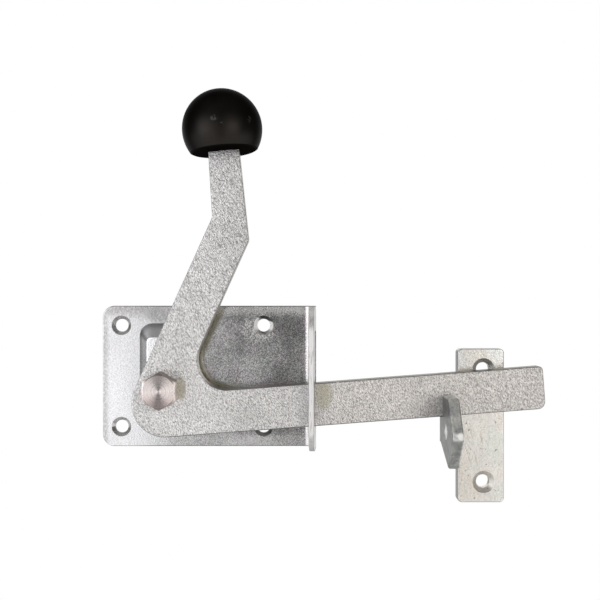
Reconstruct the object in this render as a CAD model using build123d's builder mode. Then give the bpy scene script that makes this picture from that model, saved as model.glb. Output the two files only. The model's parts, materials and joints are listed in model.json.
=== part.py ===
# Garden gate latch: a gravity latch for a garden gate, in millimetres.
# A pressed base plate carries a lever on a shoulder screw. The lever's handle arm ends in a
# ball knob and its latch bar passes through a slotted guide flange and drops behind the hook
# of a keeper plate, which is screwed to the gate post.
#
# Frame: the mounting surface is the XZ plane and the front faces -Y. X runs towards the keeper
# and Z is up. The origin is the centre of the base plate's four screw holes, on its back face.
import os
from math import atan2, cos, degrees, radians, sin, sqrt, tan

from build123d import *

# Base plate
plate_length = 120.0        # left edge to the outer face of the guide flange
plate_height = 79.0
plate_sheet = 3.0
plate_corner_radius = 6.5
plate_edge_round = 0.5
plate_screw_spacing_x = 80.0
plate_screw_spacing_z = 57.0
plate_screw_hole = 7.2
plate_countersink = 11.0
plate_screw_inset = 10.5    # left edge to the first screw holes

# Pressed pad under the pivot
pivot_from_left = 35.0
pivot_from_bottom = 33.0
pad_width = 28.4            # at the foot of its walls
pad_height = 59.5
pad_side_run = 5.0          # the side walls come in this far as they rise
pad_end_run = 8.0
pad_foot_radius = 7.0
pad_flat_radius = 3.0
pad_edge_round = 1.2

# Guide flange
flange_bend_radius = 3.0    # inside the fold
flange_overbend = 4.5       # the fold closes this far past square
flange_corner_radius = 8.0
flange_lip = 8.0            # sheet left in front of the slot
slot_side_gap = 0.9         # lever face to slot wall
slot_end_gap = 0.3          # bar edge to slot end, closed and fully lifted
lift_angle = 18.0           # travel of the lever

# Lever
lever_sheet = 8.0
lever_play = 0.2            # gap to the pad and to the screw head
lever_edge_round = 0.7
bar_height = 23.3
bar_length = 209.0          # pivot axis to the end of the bar
bar_drop = 2.7              # pivot axis down to the bar's upper edge
bar_rise_angle = 4.33       # slope of the bar, closed
bar_tip_top_radius = 2.2
bar_tip_bottom_radius = 4.2
heel_radius = 18.5
crotch_radius = 16.2
arm_lean_angle = 24.3       # lower arm, from upright towards the bar
arm_width = 23.3
arm_offset = 13.4           # pivot axis to the outer edge of the lower arm
arm_bend_height = 88.6      # pivot axis up to the bend
arm_bend_out = 37.8         # pivot axis across to the bend
handle_lean_angle = -4.83   # upper arm, from upright
handle_root_width = 18.9
handle_tip_width = 16.1
handle_length = 62.8        # bend to the end of the arm, inside the knob
arm_bend_radius = 4.0

# Ball knob
knob_diameter = 44.1
knob_flat_offset = 12.4     # centre to the flat underside
knob_seat_depth = 8.0       # the arm reaches this far past the centre
knob_rim_chamfer = 0.7
socket_gap = 0.1

# Shoulder screw and nut
head_across_flats = 18.0
head_height = 7.5
head_chamfer_angle = 30.0   # of the nut too
head_face_inset = 0.4       # the turned face stops this short of the flats
shoulder_diameter = 12.0
pivot_running_gap = 0.05    # radial, shoulder in the lever
thread_diameter = 8.0
thread_gap = 0.2            # radial, thread in the plate
nut_across_flats = 13.0
nut_height = 4.0
nut_face_inset = 0.2
nut_fit_gap = 0.05
thread_end = 0.6            # thread past the nut
thread_chamfer = 0.8

# Keeper
keeper_width = 26.0
keeper_height = 86.0
keeper_sheet = 6.0
keeper_corner_radius = 2.5
keeper_edge_round = 0.8
keeper_screw_spacing = 63.0
keeper_screw_inset = 11.5   # right edge to the screw holes
keeper_screw_hole = 7.5
keeper_countersink = 12.4
keeper_from_flange = 79.1   # flange outer face to the keeper's left edge
keeper_bar_gap = 2.2        # keeper face to the back of the bar
hook_bend_radius = 4.6      # inside the fold
hook_notch_height = 6.2     # keeper centre up to the notch floor
hook_notch_gap = 0.3        # notch floor to the bar, and horn to the bar's face
hook_root_drop = 8.1        # keeper centre down to the root's lower edge
hook_tip_height = 18.6      # keeper centre to the upper and lower tips
hook_horn_width = 17.5      # notch to the outer end of the horn
hook_nose_reach = 12.0      # horn's outer end to the nose
hook_nose_half = 1.6
hook_tip_round = 1.6
hook_nose_round = 4.9       # with hook_nose_half, this leaves hardly any flat
hook_edge_round = 1.2
hook_hole = 7.0
hook_hole_from_horn = 10.9  # notch wall to the hole's axis, measured forward
hook_hole_chamfer = 0.6     # both rims of the hole
countersink_angle = 90.0

# Depths in front of the mounting surface
pad_raise = keeper_sheet + keeper_bar_gap - plate_sheet - lever_play
pad_front = plate_sheet + pad_raise
lever_back = pad_front + lever_play
lever_front = lever_back + lever_sheet
head_seat = lever_front + lever_play
slot_back = lever_back - slot_side_gap
slot_front = lever_front + slot_side_gap
flange_reach = slot_front + flange_lip

# Places across the face
plate_left = -plate_screw_spacing_x / 2 - plate_screw_inset
plate_right = plate_left + plate_length
pivot_x = plate_left + pivot_from_left
pivot_z = -plate_height / 2 + pivot_from_bottom


def along(point, angle_from_x, distance):
    """The point at a distance from another, in the direction of an angle from +X."""
    direction = radians(angle_from_x)
    return (point[0] + distance * cos(direction), point[1] + distance * sin(direction))


def crossing(point_a, angle_a, point_b, angle_b):
    """Where two straight lines meet, each given by a point and its angle from +X."""
    ax, az = cos(radians(angle_a)), sin(radians(angle_a))
    bx, bz = cos(radians(angle_b)), sin(radians(angle_b))
    dx, dz = point_b[0] - point_a[0], point_b[1] - point_a[1]
    distance = (dx * bz - dz * bx) / (ax * bz - az * bx)
    return (point_a[0] + distance * ax, point_a[1] + distance * az)


def bar_edge_z(x, offset, angle):
    """Height at x of a bar edge that lies offset below the pivot, with the bar at an angle."""
    return pivot_z + (x - pivot_x) * tan(radians(angle)) - offset / cos(radians(angle))


def flange_outer_x(depth):
    """Where the guide flange's outer face lies at a depth in front of the mounting surface."""
    return flange_corner_x - depth * tan(radians(flange_overbend))


def flange_inner_x(depth):
    """Where its inner face lies."""
    return flange_outer_x(depth) - plate_sheet / cos(radians(flange_overbend))


def front_plane(depth):
    """A plane parallel to the mounting surface, its X as the part's and its Y up, facing front."""
    return Plane(origin=(0, -depth, 0), x_dir=(1, 0, 0), z_dir=(0, -1, 0))


# The fold of the guide flange: its round reaches furthest out at plate_right
fold_outer_radius = flange_bend_radius + plate_sheet
fold_setback = fold_outer_radius / tan(radians(90 - flange_overbend) / 2)
flange_corner_x = plate_right - fold_outer_radius + fold_setback

# Bar edges below the pivot, and the guide slot that they need
bar_lower = bar_drop + bar_height
slot_bottom = min(
    bar_edge_z(flange_inner_x(slot_front), bar_lower, bar_rise_angle),
    bar_edge_z(plate_right, bar_lower, bar_rise_angle),
) - slot_end_gap
lifted_angle = bar_rise_angle + lift_angle
slot_top = bar_edge_z(plate_right, bar_drop, lifted_angle) + slot_end_gap

# Lever outline, from the pivot axis
pivot = (pivot_x, pivot_z)
arm_angle = 90.0 - arm_lean_angle
handle_angle = 90.0 - handle_lean_angle
bar_up = bar_rise_angle + 90.0
arm_left_side = arm_angle + 90.0
handle_left_side = handle_angle + 90.0
bar_top_point = along(pivot, bar_up, -bar_drop)
bar_bottom_point = along(pivot, bar_up, -bar_lower)
bar_end_point = along(pivot, bar_rise_angle, bar_length)
arm_left_point = along(pivot, arm_left_side, arm_offset)
arm_right_point = along(pivot, arm_left_side, arm_offset - arm_width)
bend_point = (pivot_x + arm_bend_out, pivot_z + arm_bend_height)
handle_end_point = along(bend_point, handle_angle, handle_length)
handle_left_root = along(bend_point, handle_left_side, handle_root_width / 2)
handle_right_root = along(bend_point, handle_left_side, -handle_root_width / 2)
handle_left_tip = along(handle_end_point, handle_left_side, handle_tip_width / 2)
handle_right_tip = along(handle_end_point, handle_left_side, -handle_tip_width / 2)
handle_taper = degrees(atan2((handle_root_width - handle_tip_width) / 2, handle_length))
handle_left_angle = handle_angle - handle_taper
handle_right_angle = handle_angle + handle_taper

heel = crossing(arm_left_point, arm_angle, bar_bottom_point, bar_rise_angle)
bar_end_bottom = crossing(bar_end_point, bar_up, bar_bottom_point, bar_rise_angle)
bar_end_top = crossing(bar_end_point, bar_up, bar_top_point, bar_rise_angle)
crotch = crossing(arm_right_point, arm_angle, bar_top_point, bar_rise_angle)
bend_right = crossing(arm_right_point, arm_angle, handle_right_root, handle_right_angle)
bend_left = crossing(arm_left_point, arm_angle, handle_left_root, handle_left_angle)

# Keeper, placed so that its notch lies under the closed bar
keeper_left = plate_right + keeper_from_flange
keeper_x = keeper_left + keeper_width / 2
keeper_right = keeper_left + keeper_width
tab_inner = keeper_left - hook_bend_radius
tab_outer = tab_inner - keeper_sheet
notch_floor = bar_edge_z(tab_outer, bar_lower, bar_rise_angle) - hook_notch_gap
keeper_z = notch_floor - hook_notch_height
horn_back = lever_front + hook_notch_gap
horn_front = horn_back + hook_horn_width
nose_front = horn_front + hook_nose_reach
hook_hole_depth = horn_back + hook_hole_from_horn
keeper_holes_x = keeper_right - keeper_screw_inset

os.makedirs("parts", exist_ok=True)


# Base plate: one piece of sheet, folded, pressed, punched and galvanised
pad_flat_width = pad_width - 2 * pad_side_run
pad_flat_height = pad_height - 2 * pad_end_run
# The pocket behind the pad keeps the sheet's thickness in the sloping walls
pocket_side_inset = plate_sheet * tan(atan2(pad_raise, pad_side_run) / 2)
pocket_end_inset = plate_sheet * tan(atan2(pad_raise, pad_end_run) / 2)

with BuildPart() as base_plate:
    # The strip and its fold, drawn along the edge and run up the full height
    with BuildSketch(Plane.XY.offset(-plate_height / 2)):
        with BuildLine():
            FilletPolyline(
                (plate_left, 0),
                (flange_corner_x, 0),
                (flange_outer_x(flange_reach), -flange_reach),
                (flange_inner_x(flange_reach), -flange_reach),
                (flange_inner_x(plate_sheet), -plate_sheet),
                (plate_left, -plate_sheet),
                radius=[0, fold_outer_radius, 0, 0, flange_bend_radius, 0],
                close=True,
            )
        make_face()
    extrude(amount=plate_height)
    left_corners = base_plate.edges().filter_by(Axis.Y).group_by(Axis.X)[0]
    fillet(left_corners, radius=plate_corner_radius)
    flange_corners = base_plate.edges().filter_by(Axis.X).group_by(Axis.Y)[0]
    fillet(flange_corners, radius=flange_corner_radius)
    front_rim = base_plate.faces().filter_by(Plane.XZ).sort_by(
        lambda face: abs(face.center().Y + plate_sheet)
    )[0]
    free_edges = front_rim.edges().filter_by(
        lambda edge: edge.center().X < flange_inner_x(plate_sheet) - flange_bend_radius
    )
    fillet(free_edges, radius=plate_edge_round)

    # The raised pad, and the pocket that the press leaves behind it
    with BuildSketch(front_plane(plate_sheet)):
        with Locations((pivot_x, 0)):
            RectangleRounded(pad_width, pad_height, pad_foot_radius)
    with BuildSketch(front_plane(pad_front)):
        with Locations((pivot_x, 0)):
            RectangleRounded(pad_flat_width, pad_flat_height, pad_flat_radius)
    loft(ruled=True)
    with BuildSketch(front_plane(0)):
        with Locations((pivot_x, 0)):
            RectangleRounded(
                pad_width - 2 * pocket_side_inset,
                pad_height - 2 * pocket_end_inset,
                pad_foot_radius - pocket_end_inset,
            )
    with BuildSketch(front_plane(pad_raise)):
        with Locations((pivot_x, 0)):
            RectangleRounded(
                pad_flat_width - 2 * pocket_side_inset,
                pad_flat_height - 2 * pocket_end_inset,
                pad_flat_radius - pocket_end_inset,
            )
    loft(ruled=True, mode=Mode.SUBTRACT)
    pad_rim = base_plate.faces().filter_by(Plane.XZ).sort_by(
        lambda face: abs(face.center().Y + pad_front)
    )[0]
    fillet(pad_rim.outer_wire().edges(), radius=pad_edge_round)

    # The hole for the pivot screw
    with Locations(front_plane(pad_front)):
        with Locations((pivot_x, pivot_z)):
            Hole(thread_diameter / 2 + thread_gap)

    # Four countersunk screw holes
    with Locations(front_plane(plate_sheet)):
        with GridLocations(plate_screw_spacing_x, plate_screw_spacing_z, 2, 2):
            CounterSinkHole(
                plate_screw_hole / 2, plate_countersink / 2, counter_sink_angle=countersink_angle
            )

    # The slot that guides the bar
    with BuildSketch(Plane.YZ.offset(flange_inner_x(flange_reach))):
        with Locations((-(slot_back + slot_front) / 2, (slot_bottom + slot_top) / 2)):
            Rectangle(slot_front - slot_back, slot_top - slot_bottom)
    extrude(amount=plate_right - flange_inner_x(flange_reach), mode=Mode.SUBTRACT)
base_plate.part.label = "base_plate"
export_step(base_plate.part, "parts/base_plate.step")


# Lever: handle arm and latch bar, cut from one flat steel plate
lever_mid = (lever_back + lever_front) / 2
with BuildPart() as lever:
    with BuildSketch(front_plane(lever_back)):
        with BuildLine():
            FilletPolyline(
                heel,
                bar_end_bottom,
                bar_end_top,
                crotch,
                bend_right,
                handle_right_tip,
                handle_left_tip,
                bend_left,
                radius=[
                    heel_radius,
                    bar_tip_bottom_radius,
                    bar_tip_top_radius,
                    crotch_radius,
                    arm_bend_radius,
                    0,
                    0,
                    arm_bend_radius,
                ],
                close=True,
            )
        make_face()
    extrude(amount=lever_sheet)
    broad_faces = lever.faces().filter_by(Plane.XZ)
    fillet(broad_faces.edges(), radius=lever_edge_round)
    with Locations(front_plane(lever_front)):
        with Locations(pivot):
            Hole(shoulder_diameter / 2 + pivot_running_gap)
lever.part.label = "lever"
export_step(lever.part, "parts/lever.step")


# Ball knob: a moulded ball with a flat underside, pushed onto the arm
knob_radius = knob_diameter / 2
knob_flat_radius = sqrt(knob_radius**2 - knob_flat_offset**2)
knob_centre = along(bend_point, handle_angle, handle_length - knob_seat_depth)
knob_axis = Vector(cos(radians(handle_angle)), 0, sin(radians(handle_angle)))
knob_side = Vector(sin(radians(handle_angle)), 0, -cos(radians(handle_angle)))
knob_origin = (knob_centre[0], -lever_mid, knob_centre[1])
knob_plane = Plane(origin=knob_origin, x_dir=knob_side, z_dir=(0, -1, 0))

with BuildPart() as ball_knob:
    with BuildSketch(knob_plane):
        with BuildLine():
            flat_end = (knob_flat_radius, -knob_flat_offset)
            ball = ThreePointArc(flat_end, (knob_radius, 0), (0, knob_radius))
            Polyline((0, knob_radius), (0, -knob_flat_offset), flat_end)
        make_face()
    revolve(axis=Axis(knob_origin, knob_axis))
    underside = ball_knob.faces().filter_by(GeomType.PLANE)[0]
    chamfer(underside.edges(), knob_rim_chamfer)
    # The moulded socket follows the taper of the arm
    with BuildSketch(front_plane(lever_back - socket_gap)):
        with BuildLine():
            Polyline(
                along(handle_left_root, handle_left_side, socket_gap),
                along(handle_left_tip, handle_left_side, socket_gap),
                along(handle_right_tip, handle_left_side, -socket_gap),
                along(handle_right_root, handle_left_side, -socket_gap),
                close=True,
            )
        make_face()
    extrude(amount=lever_sheet + 2 * socket_gap, mode=Mode.SUBTRACT)
ball_knob.part.label = "ball_knob"
export_step(ball_knob.part, "parts/ball_knob.step")


# Pivot screw: turned from hexagon bar, with a shoulder for the lever and a thread for the nut
nut_front = pad_raise
thread_tip = nut_front - nut_height - thread_end
head_top = head_seat + head_height
head_corner_radius = head_across_flats / sqrt(3)
cone_radius = head_across_flats / 2 - head_face_inset
cone_drop = (head_corner_radius - cone_radius) * tan(radians(head_chamfer_angle))

with BuildPart() as pivot_screw:
    with BuildSketch(front_plane(thread_tip)):
        with Locations(pivot):
            Circle(thread_diameter / 2)
    extrude(amount=pad_front - thread_tip)
    chamfer(pivot_screw.edges().sort_by(Axis.Y)[-1], thread_chamfer)
    with BuildSketch(front_plane(pad_front)):
        with Locations(pivot):
            Circle(shoulder_diameter / 2)
    extrude(amount=head_seat - pad_front)
    with BuildSketch(front_plane(head_seat)):
        with Locations(pivot):
            RegularPolygon(head_across_flats / 2, 6, major_radius=False, rotation=30)
    extrude(amount=head_height)
    # The turned cone that takes the corners off the head
    with BuildSketch(Plane(origin=(pivot_x, 0, pivot_z), x_dir=(1, 0, 0), z_dir=(0, 0, 1))):
        with BuildLine():
            Polyline(
                (cone_radius, -head_top),
                (head_corner_radius, -head_top),
                (head_corner_radius, -head_top + cone_drop),
                close=True,
            )
        make_face()
    revolve(axis=Axis((pivot_x, 0, pivot_z), (0, 1, 0)), mode=Mode.SUBTRACT)
pivot_screw.part.label = "pivot_screw"
export_step(pivot_screw.part, "parts/pivot_screw.step")


# Pivot nut: a thin hexagon nut in the pocket behind the pad
nut_back = nut_front - nut_height
nut_corner_radius = nut_across_flats / sqrt(3)
nut_cone_radius = nut_across_flats / 2 - nut_face_inset
nut_cone_drop = (nut_corner_radius - nut_cone_radius) * tan(radians(head_chamfer_angle))
with BuildPart() as pivot_nut:
    with BuildSketch(front_plane(nut_back)):
        with Locations(pivot):
            RegularPolygon(nut_across_flats / 2, 6, major_radius=False, rotation=30)
            Circle(thread_diameter / 2 + nut_fit_gap, mode=Mode.SUBTRACT)
    extrude(amount=nut_height)
    # The cone that takes the corners off the nut's back
    with BuildSketch(Plane(origin=(pivot_x, 0, pivot_z), x_dir=(1, 0, 0), z_dir=(0, 0, 1))):
        with BuildLine():
            Polyline(
                (nut_cone_radius, -nut_back),
                (nut_corner_radius, -nut_back),
                (nut_corner_radius, -nut_back - nut_cone_drop),
                close=True,
            )
        make_face()
    revolve(axis=Axis((pivot_x, 0, pivot_z), (0, 1, 0)), mode=Mode.SUBTRACT)
pivot_nut.part.label = "pivot_nut"
export_step(pivot_nut.part, "parts/pivot_nut.step")


# Keeper: one piece of plate, its hook tab bent forward from the left edge
tab_fold_outer = hook_bend_radius + keeper_sheet
with BuildPart() as keeper:
    # The tab and its fold, drawn in plan and cut to the hook's profile
    with BuildSketch(Plane.XY.offset(keeper_z - hook_tip_height)):
        with BuildLine():
            FilletPolyline(
                (keeper_x, 0),
                (tab_outer, 0),
                (tab_outer, -nose_front),
                (tab_inner, -nose_front),
                (tab_inner, -keeper_sheet),
                (keeper_x, -keeper_sheet),
                radius=[0, tab_fold_outer, 0, 0, hook_bend_radius, 0],
                close=True,
            )
        make_face()
    extrude(amount=2 * hook_tip_height)
    with BuildSketch(Plane.YZ.offset(tab_outer)):
        with BuildLine():
            FilletPolyline(
                (0, keeper_z - hook_root_drop),
                (-tab_fold_outer, keeper_z - hook_root_drop),
                (-horn_front, keeper_z - hook_tip_height),
                (-nose_front, keeper_z - hook_nose_half),
                (-nose_front, keeper_z + hook_nose_half),
                (-horn_front, keeper_z + hook_tip_height),
                (-horn_back, keeper_z + hook_tip_height),
                (-horn_back, notch_floor),
                (0, notch_floor),
                radius=[0, 0, hook_tip_round, hook_nose_round, hook_nose_round,
                        hook_tip_round, hook_tip_round, 0, 0],
                close=True,
            )
        make_face()
    extrude(amount=keeper_x - tab_outer, mode=Mode.INTERSECT)
    # Every edge of the hook in front of the bar is rounded
    hook_rims = keeper.faces().filter_by(Axis.X).edges().filter_by(
        lambda edge: edge.center().Y < -horn_back + hook_tip_round
        and abs(edge.center().Z - notch_floor) > hook_tip_round
    )
    fillet(hook_rims, radius=hook_edge_round)
    with Locations(Plane.YZ.offset(tab_inner)):
        with Locations((-hook_hole_depth, keeper_z)):
            Hole(hook_hole / 2, depth=2 * keeper_sheet)
    hole_rims = keeper.edges().filter_by(GeomType.CIRCLE).filter_by(
        lambda edge: abs(edge.radius - hook_hole / 2) < 0.01
        and abs(edge.arc_center.Y + hook_hole_depth) < 0.01
    )
    chamfer(hole_rims, hook_hole_chamfer)

    # The plate
    with BuildSketch(front_plane(0)):
        with Locations((keeper_x, keeper_z)):
            RectangleRounded(keeper_width, keeper_height, keeper_corner_radius)
    extrude(amount=keeper_sheet)
    front_face = keeper.faces().filter_by(Plane.XZ).sort_by(
        lambda face: abs(face.center().Y + keeper_sheet)
    )[0]
    free_edges = front_face.edges().filter_by(
        lambda edge: edge.center().X > keeper_left
        or not keeper_z - hook_root_drop <= edge.center().Z <= notch_floor
    )
    fillet(free_edges, radius=keeper_edge_round)
    with Locations(front_plane(keeper_sheet)):
        with Locations((keeper_holes_x, keeper_z)):
            with GridLocations(0, keeper_screw_spacing, 1, 2):
                CounterSinkHole(
                    keeper_screw_hole / 2,
                    keeper_countersink / 2,
                    counter_sink_angle=countersink_angle,
                )
keeper.part.label = "keeper"
export_step(keeper.part, "parts/keeper.step")
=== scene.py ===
import json
import math

import bpy
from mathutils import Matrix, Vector

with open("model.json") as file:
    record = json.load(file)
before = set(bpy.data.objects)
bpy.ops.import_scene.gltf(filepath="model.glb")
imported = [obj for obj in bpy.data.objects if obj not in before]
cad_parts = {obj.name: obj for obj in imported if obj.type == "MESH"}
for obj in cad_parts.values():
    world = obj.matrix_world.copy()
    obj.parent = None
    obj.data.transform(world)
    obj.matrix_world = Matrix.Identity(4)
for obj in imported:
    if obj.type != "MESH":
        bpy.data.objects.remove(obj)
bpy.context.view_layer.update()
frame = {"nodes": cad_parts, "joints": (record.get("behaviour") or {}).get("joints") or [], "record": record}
nodes = frame["nodes"]


# The base plate is pressed and folded from one piece of 3 mm sheet steel, hot-dip galvanised
# and screwed to the gate. Its rolled faces mirror the studio, white on the left and mottled
# dark behind the bar; the pressed walls, the fold and the sheared edges are rougher.
def node_material(name):
    """A new empty node material with its output and main shader joined."""
    material = bpy.data.materials.new(name)
    material.use_nodes = True
    tree = material.node_tree
    tree.nodes.clear()
    output = tree.nodes.new("ShaderNodeOutputMaterial")
    shader = tree.nodes.new("ShaderNodeBsdfPrincipled")
    tree.links.new(shader.outputs["BSDF"], output.inputs["Surface"])
    return material, tree, shader


def feed(tree, value, socket):
    """Sets a socket to a number or a colour, or links another socket to it."""
    if hasattr(value, "links"):
        tree.links.new(value, socket)
    elif isinstance(value, float):
        socket.default_value = value
    else:
        socket.default_value = (*value, 1.0)


def object_place(tree):
    """Object coordinates, which are the latch's own in metres."""
    return tree.nodes.new("ShaderNodeTexCoord").outputs["Object"]


def noise(tree, place, scale, detail=3.0, rough=0.55, lean=0.0, stretch=None):
    """A noise pattern, scale in cells a metre; stretch draws it out and lean turns it, in degrees."""
    source = place
    if stretch is not None:
        mapping = tree.nodes.new("ShaderNodeMapping")
        mapping.vector_type = "TEXTURE"
        mapping.inputs["Rotation"].default_value = (0.0, math.radians(lean), 0.0)
        mapping.inputs["Scale"].default_value = stretch
        tree.links.new(place, mapping.inputs["Vector"])
        source = mapping.outputs["Vector"]
    pattern = tree.nodes.new("ShaderNodeTexNoise")
    pattern.inputs["Scale"].default_value = scale
    pattern.inputs["Detail"].default_value = detail
    pattern.inputs["Roughness"].default_value = rough
    tree.links.new(source, pattern.inputs["Vector"])
    return pattern.outputs["Fac"]


def ramp(tree, value, stops):
    """A colour ramp; stops are (position, grey or colour)."""
    node = tree.nodes.new("ShaderNodeValToRGB")
    band = node.color_ramp
    while len(band.elements) < len(stops):
        band.elements.new(0.5)
    for element, (position, colour) in zip(band.elements, stops):
        element.position = position
        rgb = (colour,) * 3 if isinstance(colour, float) else colour
        element.color = (*rgb, 1.0)
    tree.links.new(value, node.inputs["Fac"])
    return node.outputs["Color"]


def blend_colours(tree, factor, first, second, how="MIX"):
    """Two colours mixed by a factor; each of the three is a value or a socket."""
    mix = tree.nodes.new("ShaderNodeMix")
    mix.data_type = "RGBA"
    mix.blend_type = how
    feed(tree, factor, mix.inputs["Factor"])
    feed(tree, first, mix.inputs["A"])
    feed(tree, second, mix.inputs["B"])
    return mix.outputs["Result"]


def tinted(tree, colour, tint, where=1.0):
    """A colour multiplied by a tint, where a mask says."""
    return blend_colours(tree, where, colour, tint, "MULTIPLY")


def arithmetic(tree, how, first, second=0.0):
    """One sum on two values, each a number or a socket."""
    node = tree.nodes.new("ShaderNodeMath")
    node.operation = how
    feed(tree, first, node.inputs[0])
    feed(tree, second, node.inputs[1])
    return node.outputs[0]


def both(tree, *masks):
    """The product of some masks or numbers."""
    product = masks[0]
    for mask in masks[1:]:
        product = arithmetic(tree, "MULTIPLY", product, mask)
    return product


def either(tree, *masks):
    """The largest of some masks, point by point."""
    largest = masks[0]
    for mask in masks[1:]:
        largest = arithmetic(tree, "MAXIMUM", largest, mask)
    return largest


def step(tree, value, low, high, first, second):
    """A smooth step of a value between two levels."""
    node = tree.nodes.new("ShaderNodeMapRange")
    node.interpolation_type = "SMOOTHSTEP"
    for name, number in (("From Min", low), ("From Max", high), ("To Min", first), ("To Max", second)):
        node.inputs[name].default_value = number
    tree.links.new(value, node.inputs["Value"])
    return node.outputs["Result"]


def opposite(tree, mask):
    """1 where a mask is 0, and 0 where it is 1, softened between."""
    return step(tree, mask, 0.0, 1.0, 1.0, 0.0)


def axes(tree, vector):
    """The X, Y and Z of a vector socket."""
    node = tree.nodes.new("ShaderNodeSeparateXYZ")
    tree.links.new(vector, node.inputs["Vector"])
    return node.outputs


def facing(tree):
    """The X, Y and Z of the way that the surface faces, bumps left out."""
    return axes(tree, tree.nodes.new("ShaderNodeNewGeometry").outputs["True Normal"])


def facing_away(tree):
    """1 on walls and edges that turn away from the front, 0 on flat front and back faces."""
    return step(tree, arithmetic(tree, "ABSOLUTE", facing(tree)["Y"]), 0.90, 0.99, 1.0, 0.0)


def beside_line(tree, parts, point, square):
    """Signed distance from a line across the face, in metres; square is the way square to it."""
    across = arithmetic(tree, "MULTIPLY", arithmetic(tree, "SUBTRACT", parts["X"], point[0]), square[0])
    up = arithmetic(tree, "MULTIPLY", arithmetic(tree, "SUBTRACT", parts["Z"], point[1]), square[1])
    return arithmetic(tree, "ADD", across, up)


def from_middle(tree, value, middle):
    """Distance out from a middle place, to either side."""
    return arithmetic(tree, "ABSOLUTE", arithmetic(tree, "SUBTRACT", value, middle))


def squares(tree, first, second):
    """The sum of the squares of two values."""
    return arithmetic(
        tree, "ADD", arithmetic(tree, "MULTIPLY", first, first), arithmetic(tree, "MULTIPLY", second, second)
    )


def spot(tree, parts, centre, radii, edge):
    """A soft-edged elliptical patch, seen from the front; edge is the share of it that fades."""
    across = arithmetic(tree, "DIVIDE", arithmetic(tree, "SUBTRACT", parts["X"], centre[0]), radii[0])
    up = arithmetic(tree, "DIVIDE", arithmetic(tree, "SUBTRACT", parts["Z"], centre[1]), radii[1])
    return step(tree, squares(tree, across, up), 1.0 - edge, 1.0, 1.0, 0.0)


def bumps(tree, shader, layers):
    """Stacked bump layers: (height socket, depth in metres, strength)."""
    normal = None
    for height, depth, strength in layers:
        bump = tree.nodes.new("ShaderNodeBump")
        bump.inputs["Strength"].default_value = strength
        bump.inputs["Distance"].default_value = depth
        tree.links.new(height, bump.inputs["Height"])
        if normal is not None:
            tree.links.new(normal, bump.inputs["Normal"])
        normal = bump.outputs["Normal"]
    tree.links.new(normal, shader.inputs["Normal"])


def dress(node, material):
    """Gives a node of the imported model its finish."""
    nodes[node].data.materials.clear()
    nodes[node].data.materials.append(material)


plate_zinc, tree, shader = node_material("plate_zinc")
place = object_place(tree)
parts = axes(tree, place)
walls = facing_away(tree)
mottle = noise(tree, place, 1250.0, detail=2.5, rough=0.75)
fine = noise(tree, place, 2200.0, detail=1.0)
cloud = noise(tree, place, 48.0, detail=4.0, rough=0.6)
left_end = (-0.0260, -0.0060)
wall_shade_grey = (0.25, 0.25, 0.25)
grey = ramp(tree, mottle, [(0.38, 0.53), (0.60, 1.0)])
grey = tinted(tree, grey, ramp(tree, cloud, [(0.38, 0.84), (0.60, 1.0)]))
rolled_left = step(tree, parts["X"], *left_end, 0.75, 0.0)
rolled_zinc = ramp(tree, mottle, [(0.38, (0.86, 0.86, 0.87)), (0.60, (0.96, 0.96, 0.97))])
grey = blend_colours(tree, rolled_left, grey, rolled_zinc)
casts = ramp(
    tree,
    noise(tree, place, 130.0, detail=3.0),
    [(0.40, (0.985, 1.0, 0.965)), (0.50, (1.0, 0.99, 0.985)), (0.62, (1.0, 0.945, 0.955))],
)
colour = tinted(tree, grey, casts, arithmetic(tree, "SUBTRACT", 1.0, rolled_left))
# Walls turned away from the front are darkened grey as painted shade
colour = blend_colours(tree, both(tree, walls, 0.35), colour, wall_shade_grey)

# The guide flange's sheared edge took the thickest zinc; painted shade darkens its rounded side edges, and
# it is darker at its top and foot
flange_front = (-0.0100, -0.0090)
flange_middle = 0.0665
edge_corner = (0.0009, 0.0014)      # out from the flange's middle
edge_top = (0.0250, 0.0310)
edge_foot = (-0.0335, -0.0285)
corner_shade_brown = (0.32, 0.29, 0.26)
end_grey = (0.30, 0.30, 0.29)
side_facing = (0.3, 0.6)
sideways = arithmetic(tree, "ABSOLUTE", facing(tree)["X"])
flange_edge = both(
    tree,
    step(tree, parts["Y"], *flange_front, 1.0, 0.0),
    step(tree, sideways, *side_facing, 1.0, 0.0),
)
drawn = noise(tree, place, 900.0, detail=2.0, stretch=(0.6, 1.0, 6.0))
edge_zinc = ramp(tree, drawn, [(0.34, (0.72, 0.70, 0.68)), (0.46, (1.0, 0.99, 0.98))])
corner_shade = both(
    tree,
    step(tree, from_middle(tree, parts["X"], flange_middle), *edge_corner, 0.0, 0.85),
    ramp(tree, drawn, [(0.35, 1.0), (0.60, 0.5)]),
)
end_darkening = both(
    tree,
    either(
        tree,
        step(tree, parts["Z"], *edge_top, 0.0, 0.95),
        step(tree, parts["Z"], *edge_foot, 0.95, 0.0),
    ),
    ramp(tree, mottle, [(0.40, 0.7), (0.60, 1.0)]),
)
edge_zinc = blend_colours(tree, corner_shade, edge_zinc, corner_shade_brown)
edge_zinc = blend_colours(tree, end_darkening, edge_zinc, end_grey)
colour = blend_colours(tree, flange_edge, colour, edge_zinc)
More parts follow.
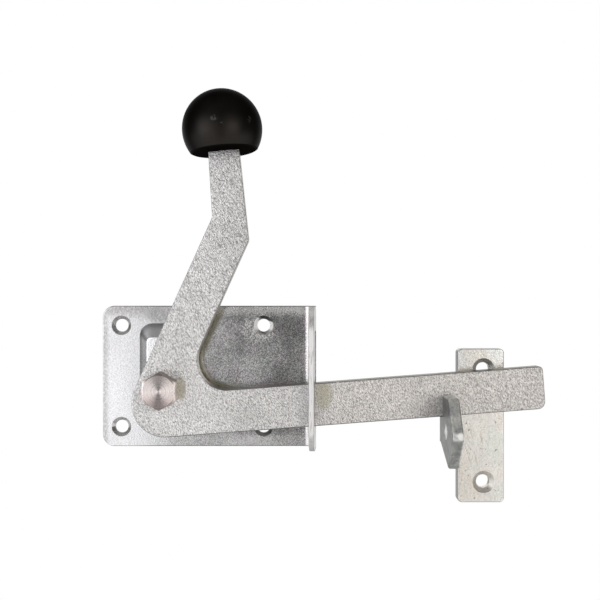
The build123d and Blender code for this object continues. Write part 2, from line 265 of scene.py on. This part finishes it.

# A painted reflection and shadow of the arm, in olive, follows its right side and runs round into the crotch
half_sheet = (-0.0024, -0.0016)
arm_edge = (-0.00855, -0.01223)     # a point on the arm's right edge
arm_lean = math.radians(24.3)
reflection_edge = (0.0030, 0.0052)        # out from the arm's edge
reflection_start = (-0.0080, -0.0050)     # under the arm
reflection_turn = (0.0040, 0.0100)        # above this it runs up the arm
reflection_foot = (-0.0240, -0.0180)
reflection_end = (0.0160, 0.0300)
reflection_left = (-0.0060, -0.0020)
crotch = (0.01924, 0.00874)
crotch_radius = 0.0140
arm_reflection_olive = (0.56, 0.53, 0.41)
front = step(tree, parts["Y"], *half_sheet, 1.0, 0.0)
arm_side = beside_line(tree, parts, arm_edge, (math.cos(arm_lean), -math.sin(arm_lean)))
reflection_up_arm = both(
    tree,
    step(tree, arm_side, *reflection_edge, 1.0, 0.0),
    step(tree, arm_side, *reflection_start, 0.0, 1.0),
    step(tree, parts["Z"], *reflection_turn, 0.0, 1.0),
)
reflection_in_crotch = both(
    tree,
    arithmetic(tree, "SUBTRACT", 1.0, spot(tree, parts, crotch, (crotch_radius, crotch_radius), 0.30)),
    step(tree, parts["Z"], *reflection_turn, 1.0, 0.0),
    step(tree, parts["Z"], *reflection_foot, 0.0, 1.0),
    step(tree, parts["X"], *reflection_end, 1.0, 0.0),
    step(tree, parts["X"], *reflection_left, 0.0, 1.0),
)
arm_reflection = both(tree, either(tree, reflection_up_arm, reflection_in_crotch), front, 0.80)
colour = blend_colours(tree, arm_reflection, colour, arm_reflection_olive)

# The strips above and below the lever are lighter, and the margins blotched and duller
strip_below = (-0.0360, -0.0290)
strip_lightening = (-0.0300, 0.0300)
strip_above = (0.0320, 0.0370)
margin_above = (0.0290, 0.0385)
margin_left = (-0.0495, -0.0460)
margin_end = (-0.0300, -0.0100)
above_pad_centre = (-0.0170, 0.0345)
above_pad_radii = (0.0110, 0.0062)
lower_zinc = (0.97, 0.96, 0.95)
upper_zinc = (0.97, 0.95, 0.93)
margin_grey = (0.35, 0.34, 0.33)
above_pad_grey = (0.33, 0.33, 0.33)
lower_strip = both(
    tree,
    front,
    step(tree, parts["Z"], *strip_below, 1.0, 0.0),
    step(tree, parts["X"], *strip_lightening, 0.15, 0.42),
)
upper_strip = step(tree, parts["Z"], *strip_above, 0.0, 0.45)
blotches = noise(tree, place, 650.0, detail=3.0, rough=0.65)
margin = both(
    tree,
    either(
        tree,
        step(tree, parts["Z"], *margin_above, 0.0, 1.3),
        step(tree, parts["X"], *margin_left, 1.0, 0.0),
    ),
    step(tree, parts["X"], *margin_end, 1.0, 0.0),
    ramp(tree, blotches, [(0.36, 0.25), (0.60, 0.62)]),
)
above_pad = both(
    tree,
    front,
    spot(tree, parts, above_pad_centre, above_pad_radii, 0.8),
    ramp(tree, blotches, [(0.36, 1.0), (0.62, 0.35)]),
    0.70,
)
colour = blend_colours(tree, lower_strip, colour, lower_zinc)
colour = blend_colours(tree, upper_strip, colour, upper_zinc)
colour = blend_colours(tree, margin, colour, margin_grey)
colour = blend_colours(tree, above_pad, colour, above_pad_grey)

# Painted shade darkens the cut edges above and below, less so at the left end
cut_edges = (0.0388, 0.0392)        # up or down from the middle
cut_edges_left = (-0.0350, -0.0200)
edge_shade_grey = (0.10, 0.10, 0.10)
edge_shade = both(
    tree,
    step(tree, arithmetic(tree, "ABSOLUTE", parts["Z"]), *cut_edges, 0.0, 0.75),
    step(tree, parts["X"], *cut_edges_left, 0.3, 1.0),
)
colour = blend_colours(tree, edge_shade, colour, edge_shade_grey)

# The zinc is pale round one screw hole; its countersink has painted highlights on both sides and painted
# shade above
mounts = {mount["name"]: mount for mount in frame["record"]["mounts"]}
screw_spacing = mounts["plate_screws"]["dims"]
hole = (screw_spacing["spacing_x_mm"] / 2000, screw_spacing["spacing_y_mm"] / 2000)
pale_centre = (hole[0] - 0.0035, hole[1] - 0.0020)
pale_radii = (0.0120, 0.0095)
sunk_radius = 0.0075
dark_rise = (0.0030, 0.0040)        # up from the hole's middle
bright_out = (0.0018, 0.0036)       # out from the hole's middle
bright_foot = (0.0245, 0.0270)
pale_zinc = (0.98, 0.97, 0.95)
sunk_shade = (0.12, 0.12, 0.12)
countersink_highlight = (0.98, 0.97, 0.96)
pale = both(
    tree,
    front,
    spot(tree, parts, pale_centre, pale_radii, 1.0),
    ramp(tree, mottle, [(0.40, 0.1), (0.55, 0.7)]),
)
sunk = both(tree, spot(tree, parts, hole, (sunk_radius, sunk_radius), 0.05), walls)
top_of_hole = step(tree, beside_line(tree, parts, hole, (0.35, 1.0)), *dark_rise, 0.0, 1.0)
bright_sides = both(
    tree,
    sunk,
    step(tree, from_middle(tree, parts["X"], hole[0]), *bright_out, 0.0, 1.0),
    opposite(tree, top_of_hole),
    step(tree, parts["Z"], *bright_foot, 0.0, 1.0),
)
colour = blend_colours(tree, pale, colour, pale_zinc)
colour = blend_colours(tree, both(tree, sunk, top_of_hole), colour, sunk_shade)
colour = blend_colours(tree, bright_sides, colour, countersink_highlight)

# Painted shade darkens the pad's walls, unevenly, at their foot; its flat is the brightest face
pad_end = (0.0000, 0.0020)
pad_foot = (-0.0034, -0.0030)
foot_shade = (-0.0058, -0.0034)
pad_face = (-0.0080, -0.0078)
pad_foot_shade_grey = (0.10, 0.10, 0.10)
fresh_zinc = (1.0, 1.0, 1.0)
left_of_pad_end = step(tree, parts["X"], *pad_end, 1.0, 0.0)
foot = both(
    tree,
    left_of_pad_end,
    step(tree, parts["Y"], *pad_foot, 1.0, 0.0),
    walls,
    step(tree, parts["Y"], *foot_shade, 0.12, 0.74),
    ramp(tree, mottle, [(0.40, 0.6), (0.60, 1.0)]),
)
pad_flat = both(tree, left_of_pad_end, step(tree, parts["Y"], *pad_face, 1.0, 0.0))
colour = blend_colours(tree, foot, colour, pad_foot_shade_grey)
colour = blend_colours(tree, pad_flat, colour, fresh_zinc)
tree.links.new(colour, shader.inputs["Base Color"])
tree.links.new(opposite(tree, either(tree, flange_edge, bright_sides)), shader.inputs["Metallic"])

# Walls and pale zinc are rough, the left end and the pad's flat smooth
smooth_left = (-0.0400, -0.0180)
patches = both(tree, arithmetic(tree, "ADD", mottle, cloud), 0.5)
rough = arithmetic(tree, "ADD", ramp(tree, patches, [(0.40, 0.17), (0.62, 0.26)]), both(tree, walls, 0.12))
rough = both(tree, rough, step(tree, parts["X"], *smooth_left, 0.70, 1.0))
rough = arithmetic(tree, "ADD", rough, both(tree, either(tree, pale, lower_strip, upper_strip), 0.16))
rough = both(tree, rough, step(tree, pad_flat, 0.0, 1.0, 1.0, 0.5))
tree.links.new(rough, shader.inputs["Roughness"])
swell = noise(tree, place, 30.0, detail=0.0)
bumps(tree, shader, [(swell, 0.0010, 0.5), (mottle, 0.00004, 0.8), (fine, 0.00003, 0.6)])
dress("base_plate", plate_zinc)


# The lever is flame-cut from 8 mm plate, hot-dip galvanised, and turns on the pivot screw.
# Its zinc is rough and grainy all over, with the grain drawn out along the arm, and has a
# painted olive shadow beside the screw's head and another beside the flange.
def galvanised(name, dark, light, grain, cloud, grain_depth, roughness, contrast, octaves=3.0, **drawn_out):
    """Zinc skin: grain and cloud are in cells a metre, dark and light are its two greys."""
    material, tree, shader = node_material(name)
    place = object_place(tree)
    fine = noise(tree, place, grain, detail=octaves, rough=0.72, **drawn_out)
    coarse = noise(tree, place, cloud, detail=5.0, rough=0.6)
    colour = ramp(tree, fine, [(0.5 - contrast, dark), (0.5 + 0.6 * contrast, light)])
    colour = tinted(tree, colour, ramp(tree, coarse, [(0.35, 0.88), (0.65, 1.0)]))
    shader.inputs["Metallic"].default_value = 1.0
    rough = ramp(tree, coarse, [(0.30, roughness[0]), (0.70, roughness[1])])
    tree.links.new(rough, shader.inputs["Roughness"])
    bumps(tree, shader, [(coarse, 0.0004, 0.25), (fine, grain_depth, 1.0)])
    return material, tree, shader, place, colour, rough


lever_zinc, tree, shader, place, colour, _ = galvanised(
    "lever_zinc",
    dark=(0.30, 0.295, 0.295),
    light=(1.0, 0.985, 0.98),
    grain=1800.0,
    cloud=60.0,
    grain_depth=0.00032,
    roughness=(0.27, 0.37),
    contrast=0.145,
    octaves=1.7,
    lean=-32.0,
    stretch=(0.72, 1.0, 2.3),
)
parts = axes(tree, place)
walls = facing_away(tree)

# Longer strokes run down the arm
arm_start = (0.0000, 0.0200)
strokes = noise(tree, place, 950.0, detail=1.0, lean=-30.0, stretch=(0.6, 1.0, 4.0))
strokes = ramp(tree, strokes, [(0.34, 0.70), (0.50, 1.0)])
colour = tinted(tree, colour, strokes, step(tree, parts["Z"], *arm_start, 0.25, 1.0))

# The zinc of the latch bar is a little darker than the arm's, and warmer towards its end
bar_start = (0.0050, 0.0350)
bar_warming = (0.0600, 0.0900)
bar_tint = (0.855, 0.852, 0.848)
warm_tint = (0.985, 0.965, 0.945)
colour = tinted(tree, colour, bar_tint, step(tree, parts["X"], *bar_start, 0.0, 1.0))
colour = tinted(tree, colour, warm_tint, step(tree, parts["X"], *bar_warming, 0.0, 1.0))

# Painted olive shadows lie beside the screw's head and the flange, on the front only
front_edge = (-0.0155, -0.0140)
olive_shadow = (0.36, 0.34, 0.23)
beside_screw = spot(tree, parts, (-0.0045, -0.0058), (0.0030, 0.0068), 0.5)
beside_flange = spot(tree, parts, (0.0735, -0.0085), (0.0060, 0.0110), 0.9)
olive_shadows = both(
    tree,
    either(tree, beside_screw, beside_flange),
    step(tree, parts["Y"], *front_edge, 1.0, 0.0),
    0.6,
)
colour = blend_colours(tree, olive_shadows, colour, olive_shadow)

# Painted shade draws the rounded lower edges and the bar's upper edge as a dark line, and dims all walls to
# olive
downward = (-0.45, -0.20)
upward = (0.55, 0.90)
bar_top_start = (0.0020, 0.0140)
low_edge_shade = (0.12, 0.12, 0.12)
bar_top_shade = (0.10, 0.10, 0.09)
wall_shade_olive = (0.30, 0.28, 0.22)
rise = facing(tree)["Z"]
low_edge = both(tree, walls, step(tree, rise, *downward, 0.75, 0.0))
bar_top = both(
    tree,
    walls,
    step(tree, rise, *upward, 0.0, 0.84),
    step(tree, parts["X"], *bar_top_start, 0.0, 1.0),
)
colour = blend_colours(tree, low_edge, colour, low_edge_shade)
colour = blend_colours(tree, bar_top, colour, bar_top_shade)
colour = blend_colours(tree, both(tree, walls, 0.25), colour, wall_shade_olive)
tree.links.new(colour, shader.inputs["Base Color"])
dress("lever", lever_zinc)


# The keeper is bent from 6 mm plate, hot-dip galvanised and screwed to the gate post. Its zinc
# is warm, smooth and lightly pitted, with a duller, cooler grey on the bent hook.
def scaled(tree, colour, amount):
    """A colour made darker or brighter by the amount that a socket gives."""
    node = tree.nodes.new("ShaderNodeVectorMath")
    node.operation = "SCALE"
    tree.links.new(colour, node.inputs[0])
    tree.links.new(amount, node.inputs["Scale"])
    return node.outputs["Vector"]


keeper_zinc, tree, shader, place, colour, rough = galvanised(
    "keeper_zinc",
    dark=(0.82, 0.795, 0.755),
    light=(0.92, 0.895, 0.86),
    grain=900.0,
    cloud=90.0,
    grain_depth=0.00005,
    roughness=(0.20, 0.28),
    contrast=0.16,
)
parts = axes(tree, place)
pits = ramp(tree, noise(tree, place, 480.0, detail=2.0), [(0.285, 0.45), (0.34, 1.0)])
colour = tinted(tree, colour, pits)
casts = ramp(
    tree,
    noise(tree, place, 75.0, detail=3.0),
    [(0.36, (0.955, 1.0, 0.985)), (0.48, (1.0, 1.0, 1.0)), (0.62, (1.0, 0.975, 0.935))],
)
colour = tinted(tree, colour, casts)

# Its top is duller, and brown rub marks run down the plate beside the hook
keeper_top = (-0.0020, 0.0080)
rub_centre = (0.1575, -0.0366)
rub_radii = (0.0060, 0.0170)
dull_tint = (0.90, 0.925, 0.955)
rubbed_brown = (0.62, 0.50, 0.41)
colour = tinted(tree, colour, dull_tint, step(tree, parts["Z"], *keeper_top, 0.0, 1.0))
rubbed = noise(tree, place, 520.0, detail=1.5, lean=-16.0, stretch=(0.5, 1.0, 12.0))
rub_marks = both(
    tree,
    ramp(tree, rubbed, [(0.36, 0.85), (0.45, 0.0)]),
    spot(tree, parts, rub_centre, rub_radii, 0.7),
)
colour = blend_colours(tree, rub_marks, colour, rubbed_brown)

# Painted shade makes the hook's left face its darkest; painted light makes its front lighter where it slopes
# up
hook_end = (0.1440, 0.1500)
left_facing = (-0.95, -0.75)
up_facing = (0.10, 0.25)
hook = step(tree, parts["X"], *hook_end, 1.0, 0.0)
hook_zinc = ramp(
    tree,
    noise(tree, place, 300.0, detail=4.0),
    [(0.36, (0.44, 0.47, 0.48)), (0.62, (0.80, 0.83, 0.845))],
)
colour = tinted(tree, colour, hook_zinc, hook)
way = facing(tree)
left_face = step(tree, way["X"], *left_facing, 0.37, 1.0)
upper_front = both(tree, hook, step(tree, way["Z"], *up_facing, 0.0, 0.32))
colour = scaled(tree, colour, arithmetic(tree, "ADD", left_face, upper_front))

# Painted highlights make the tip of its nose and the bore of its hole bright
nose_depth = (-0.0455, -0.0435)
nose_centre = (0.1424, -0.0268)
nose_radii = (0.0022, 0.0026)
highlight_white = (0.97, 0.97, 0.95)
_, hole_y, hole_z = mounts["padlock_hole"]["pos_m"]
bore_radius = mounts["padlock_hole"]["dims"]["r_mm"] / 1000 + 0.0003
bore_edge = (0.95, 1.05)
nose = both(
    tree,
    step(tree, parts["Y"], *nose_depth, 1.0, 0.0),
    spot(tree, parts, nose_centre, nose_radii, 0.9),
)
deep = arithmetic(tree, "DIVIDE", arithmetic(tree, "SUBTRACT", parts["Y"], hole_y), bore_radius)
high = arithmetic(tree, "DIVIDE", arithmetic(tree, "SUBTRACT", parts["Z"], hole_z), bore_radius)
bore = both(tree, hook, step(tree, squares(tree, deep, high), *bore_edge, 1.0, 0.0))
colour = blend_colours(tree, nose, colour, highlight_white)
colour = blend_colours(tree, bore, colour, highlight_white)
tree.links.new(step(tree, either(tree, nose, bore), 0.0, 1.0, 1.0, 0.1), shader.inputs["Metallic"])

# Painted shade draws the side edges of the plate as a dark line
keeper_middle = mounts["keeper_back"]["pos_m"][0]
edge_line = (0.01235, 0.0128)       # out from the middle
keeper_edge_shade = (0.25, 0.25, 0.24)
outline = both(
    tree,
    step(tree, from_middle(tree, parts["X"], keeper_middle), *edge_line, 0.0, 0.7),
    step(tree, hook, 0.0, 0.5, 1.0, 0.0),
)
colour = blend_colours(tree, outline, colour, keeper_edge_shade)
tree.links.new(colour, shader.inputs["Base Color"])
duller = both(tree, either(tree, hook, facing_away(tree)), 0.16)
tree.links.new(arithmetic(tree, "ADD", rough, duller), shader.inputs["Roughness"])
dress("keeper", keeper_zinc)


# The pivot screw is turned from stainless hexagon bar, and its shoulder carries the lever. The
# lathe's rings on its face spread the light across them into a bow tie; the face stands a few
# degrees out of true.
def on_vectors(tree, how, first, second=(0.0, 0.0, 0.0)):
    """One sum on a vector socket and three numbers."""
    node = tree.nodes.new("ShaderNodeVectorMath")
    node.operation = how
    tree.links.new(first, node.inputs[0])
    node.inputs[1].default_value = second
    return node.outputs


screw_steel, tree, shader = node_material("screw_steel")
shader.inputs["Roughness"].default_value = 0.27
shader.inputs["Anisotropic"].default_value = 1.0
shader.inputs["Anisotropic Rotation"].default_value = 0.25
ring_tangent = tree.nodes.new("ShaderNodeTangent")
ring_tangent.direction_type = "RADIAL"
ring_tangent.axis = "Y"
tree.links.new(ring_tangent.outputs["Tangent"], shader.inputs["Tangent"])
pivot = frame["joints"][0]["pos_m"]
from_axis = on_vectors(tree, "SUBTRACT", object_place(tree), (pivot[0], 0.0, pivot[2]))["Vector"]
parts = axes(tree, from_axis)
rings = tree.nodes.new("ShaderNodeTexNoise")
rings.noise_dimensions = "1D"
rings.inputs["Scale"].default_value = 1400.0
rings.inputs["Detail"].default_value = 3.0
tree.links.new(arithmetic(tree, "SQRT", squares(tree, parts["X"], parts["Z"])), rings.inputs["W"])
colour = ramp(tree, rings.outputs["Fac"], [(0.35, (0.80, 0.72, 0.70)), (0.65, (0.97, 0.89, 0.86))])

# Its lower half is browner, its upper half a little duller
lower_half = (-0.0060, -0.0010)
upper_half = (0.0010, 0.0050)
brown_tint = (0.98, 0.92, 0.92)
colour = tinted(tree, colour, brown_tint, step(tree, parts["Z"], *lower_half, 1.0, 0.0))
tree.links.new(step(tree, parts["Z"], *upper_half, 1.0, 0.86), shader.inputs["Metallic"])

# Painted shade darkens its bevel and its flats where they face up or down
up_or_down = (0.15, 0.35)
bevel_shade_grey = (0.30, 0.25, 0.22)
turned = arithmetic(tree, "ABSOLUTE", facing(tree)["Z"])
bevel_shade = both(tree, facing_away(tree), step(tree, turned, *up_or_down, 0.0, 0.8))
colour = blend_colours(tree, bevel_shade, colour, bevel_shade_grey)
tree.links.new(colour, shader.inputs["Base Color"])
out_of_true = (0.085, 0.0, 0.05)
square = tree.nodes.new("ShaderNodeNewGeometry").outputs["Normal"]
leaning = on_vectors(tree, "NORMALIZE", on_vectors(tree, "ADD", square, out_of_true)["Vector"])
tree.links.new(leaning["Vector"], shader.inputs["Normal"])
dress("pivot_screw", screw_steel)


# The pivot nut is a thin one in the pocket behind the pad. It is bright zinc plated steel,
# turned up tight against the sheet.
nut_steel, tree, shader, _, colour, _ = galvanised(
    "nut_steel",
    dark=(0.55, 0.55, 0.54),
    light=(0.72, 0.72, 0.72),
    grain=1500.0,
    cloud=200.0,
    grain_depth=0.00002,
    roughness=(0.25, 0.35),
    contrast=0.2,
)
tree.links.new(colour, shader.inputs["Base Color"])
dress("pivot_nut", nut_steel)


# The ball knob is moulded black plastic, pushed on the end of the handle arm. Its skin is
# satin, matt underneath, and has a few pale scuffs from use.
knob_black, tree, shader = node_material("knob_black")
place = object_place(tree)
parts = axes(tree, place)
scuff_grey = (0.10, 0.10, 0.095)
skin = noise(tree, place, 1800.0, detail=3.0)
handling = noise(tree, place, 90.0, detail=5.0)
tone = ramp(tree, handling, [(0.3, (0.0022, 0.0017, 0.0015)), (0.7, (0.0050, 0.0040, 0.0034))])
scuffs = either(
    tree,
    spot(tree, parts, (0.0153, 0.1382), (0.0030, 0.0018), 0.9),
    spot(tree, parts, (0.0334, 0.1387), (0.0012, 0.0024), 0.9),
    spot(tree, parts, (0.0200, 0.1354), (0.0016, 0.0008), 0.9),
)
scuffs = both(tree, scuffs, ramp(tree, noise(tree, place, 900.0), [(0.48, 0.0), (0.60, 0.5)]))
tone = blend_colours(tree, scuffs, tone, scuff_grey)
tree.links.new(tone, shader.inputs["Base Color"])

# The knob leans with the handle; its flat underside faces down the arm and is matt
underside_edge = (0.75, 0.97)
knob_lean = math.radians(4.83)
underside = (math.sin(knob_lean), 0.0, -math.cos(knob_lean))
surface = tree.nodes.new("ShaderNodeNewGeometry").outputs["True Normal"]
below = step(tree, on_vectors(tree, "DOT_PRODUCT", surface, underside)["Value"], *underside_edge, 0.0, 1.0)
rough = arithmetic(tree, "ADD", ramp(tree, handling, [(0.3, 0.33), (0.7, 0.40)]), both(tree, below, 0.3))
tree.links.new(rough, shader.inputs["Roughness"])

# Painted shade turns the sheen down upwards and towards the outline; it also fades underneath, where the
# skin is matt
upward_fade = (-0.38, 0.30)
outline_fade = (0.08, 0.48)
grazing = tree.nodes.new("ShaderNodeLayerWeight")
grazing.inputs["Blend"].default_value = 0.5
sheen = both(
    tree,
    step(tree, facing(tree)["Z"], *upward_fade, 0.31, 0.08),
    step(tree, below, 0.0, 1.0, 1.0, 0.04),
    step(tree, grazing.outputs["Facing"], *outline_fade, 1.0, 0.06),
)
shader.inputs["Specular IOR Level"].default_value = 0.22
tree.links.new(sheen, shader.inputs["Specular IOR Level"])
shader.inputs["Specular Tint"].default_value = (1.0, 0.91, 0.83, 1.0)
bumps(tree, shader, [(skin, 0.00003, 0.5)])
dress("ball_knob", knob_black)


# The studio floor is matt white paint, 0.26 m below the middle of the base plate. It starts
# 0.6 m in front of the latch and runs far behind it.
floor_height = -0.26
floor_side = 6.0
floor_centre = (0.06, 2.4, floor_height)
below_latch = (0.06, 0.0, floor_height)
shadow_edge = (0.16, 0.34)          # out from the point below the latch
bpy.ops.mesh.primitive_grid_add(x_subdivisions=2, y_subdivisions=2, size=floor_side, location=floor_centre)
floor = bpy.context.object
floor.name = "floor"
floor_paint, tree, shader = node_material("floor_paint")
shader.inputs["Base Color"].default_value = (0.85, 0.85, 0.85, 1.0)
shader.inputs["Roughness"].default_value = 0.9
glow = tree.nodes.new("ShaderNodeEmission")
glow.inputs["Color"].default_value = (1.0, 1.0, 1.0, 1.0)

# Far floor is as white as the background; the near floor keeps the latch's shadow
rays = tree.nodes.new("ShaderNodeLightPath").outputs
position = tree.nodes.new("ShaderNodeNewGeometry").outputs["Position"]
far = step(tree, on_vectors(tree, "DISTANCE", position, below_latch)["Value"], *shadow_edge, 0.0, 1.0)
white = either(
    tree,
    both(tree, rays["Is Camera Ray"], step(tree, far, 0.0, 1.0, 0.9, 1.0)),
    both(tree, either(tree, rays["Is Glossy Ray"], rays["Is Transmission Ray"]), far),
)
mix = tree.nodes.new("ShaderNodeMixShader")
tree.links.new(white, mix.inputs["Fac"])
tree.links.new(shader.outputs["BSDF"], mix.inputs[1])
tree.links.new(glow.outputs["Emission"], mix.inputs[2])
output = next(node for node in tree.nodes if node.type == "OUTPUT_MATERIAL")
tree.links.new(mix.outputs["Shader"], output.inputs["Surface"])
floor.data.materials.append(floor_paint)


# The studio has a white background, a large pale panel on each side of the camera and a dark
# gap between them, which the flat metal mirrors. The left panel is the cooler and brighter one.
world = bpy.data.worlds.new("studio")
bpy.context.scene.world = world
world.use_nodes = True
tree = world.node_tree
tree.nodes.clear()
output = tree.nodes.new("ShaderNodeOutputWorld")
background = tree.nodes.new("ShaderNodeBackground")
background.inputs["Strength"].default_value = 1.0
rays = tree.nodes.new("ShaderNodeLightPath").outputs
parts = axes(tree, tree.nodes.new("ShaderNodeTexCoord").outputs["Generated"])

# Directions as azimuth from the front, positive towards the keeper, and height, in degrees
panel_body = (18.0, 42.0)           # up or down, where the panels fade
panel_glow = (50.0, 80.0)           # up or down, where the light round them fades
azimuth = both(
    tree,
    arithmetic(tree, "ARCTAN2", parts["X"], both(tree, parts["Y"], -1.0)),
    math.degrees(1.0),
)
height = both(tree, arithmetic(tree, "ARCSINE", parts["Z"]), math.degrees(1.0))
slope = arithmetic(tree, "ABSOLUTE", height)
tall = arithmetic(
    tree,
    "ADD",
    step(tree, slope, *panel_body, 0.55, 0.0),
    step(tree, slope, *panel_glow, 0.45, 0.0),
)


def panel(left, right, soft_left, soft_right, strength):
    """A panel between two azimuths, each with its own soft edge."""
    rise = step(tree, azimuth, left - soft_left, left + soft_left, 0.0, 1.0)
    fall = step(tree, azimuth, right - soft_right, right + soft_right, strength, 0.0)
    return both(tree, rise, fall, tall)


gap_fade = (20.0, 60.0)             # upwards, where the gap turns paler
rearward = (0.40, 0.80)             # the share of a direction that points behind the latch
warming = (-10.0, 12.0)             # across the gap, from the cool panel to the warm one
cool_white = (0.985, 0.985, 1.0)
warm_white = (1.0, 0.98, 0.95)
left_panel = panel(left=-72.0, right=-9.4, soft_left=6.0, soft_right=1.6, strength=1.15)
right_panel = panel(left=9.4, right=58.0, soft_left=1.6, soft_right=8.0, strength=1.08)
dark_gap = step(tree, height, *gap_fade, 0.12, 0.30)
behind = step(tree, parts["Y"], *rearward, 0.0, 1.0)
studio = either(tree, arithmetic(tree, "ADD", left_panel, right_panel), both(tree, behind, 0.75), dark_gap)
warm_side = step(tree, azimuth, *warming, 0.0, 1.0)
tint = blend_colours(tree, warm_side, cool_white, warm_white)

# Behind the latch the background is as white in the metal as it is to the camera
white = either(
    tree,
    rays["Is Camera Ray"],
    both(tree, either(tree, rays["Is Glossy Ray"], rays["Is Transmission Ray"]), behind),
)
colour = blend_colours(tree, white, scaled(tree, tint, studio), (1.0, 1.0, 1.0))
tree.links.new(colour, background.inputs["Color"])
tree.links.new(background.outputs["Background"], output.inputs["Surface"])


# Two weak square lamps stand in front of the panels and are aimed at the latch. The left one
# is the cooler and stronger, as the left panel is.
def square_lamp(name, azimuth, elevation, width, power, colour):
    """A lamp at lamp_reach from the latch; azimuth runs from the front to +X, in degrees."""
    lamp = bpy.data.lights.new(name, "AREA")
    lamp.shape = "SQUARE"
    lamp.size = width
    lamp.energy = power
    lamp.color = colour
    stand = bpy.data.objects.new(name, lamp)
    bpy.context.scene.collection.objects.link(stand)
    across = math.radians(azimuth)
    up = math.radians(elevation)
    away = Vector((math.sin(across) * math.cos(up), -math.cos(across) * math.cos(up), math.sin(up)))
    stand.location = lamp_aim + away * lamp_reach
    stand.rotation_euler = away.to_track_quat("Z", "Y").to_euler()


lamp_aim = Vector((0.06, 0.0, 0.04))
lamp_reach = 0.9
square_lamp("lamp_left", azimuth=-50.0, elevation=8.0, width=0.55, power=1.2, colour=(0.97, 0.98, 1.0))
square_lamp("lamp_right", azimuth=32.0, elevation=8.0, width=0.35, power=0.6, colour=(1.0, 0.97, 0.93))


# The camera looks square at the mounting surface, as the photograph does. Its distance and its
# focal length were fitted from how edges at different depths draw apart.
camera_distance = 0.442
camera_x = 0.0605
camera_z = 0.04275
picture_pixels = 600
focal_pixels = 780
sensor = 36.0
camera_data = bpy.data.cameras.new("camera")
camera_data.sensor_width = sensor
camera_data.lens = sensor * focal_pixels / picture_pixels
camera_data.clip_start = 0.01
camera = bpy.data.objects.new("camera", camera_data)
camera.location = (camera_x, -camera_distance, camera_z)
camera.rotation_euler = (math.radians(90.0), 0.0, 0.0)
bpy.context.scene.collection.objects.link(camera)
bpy.context.scene.camera = camera
bpy.context.scene.view_settings.view_transform = "Standard"
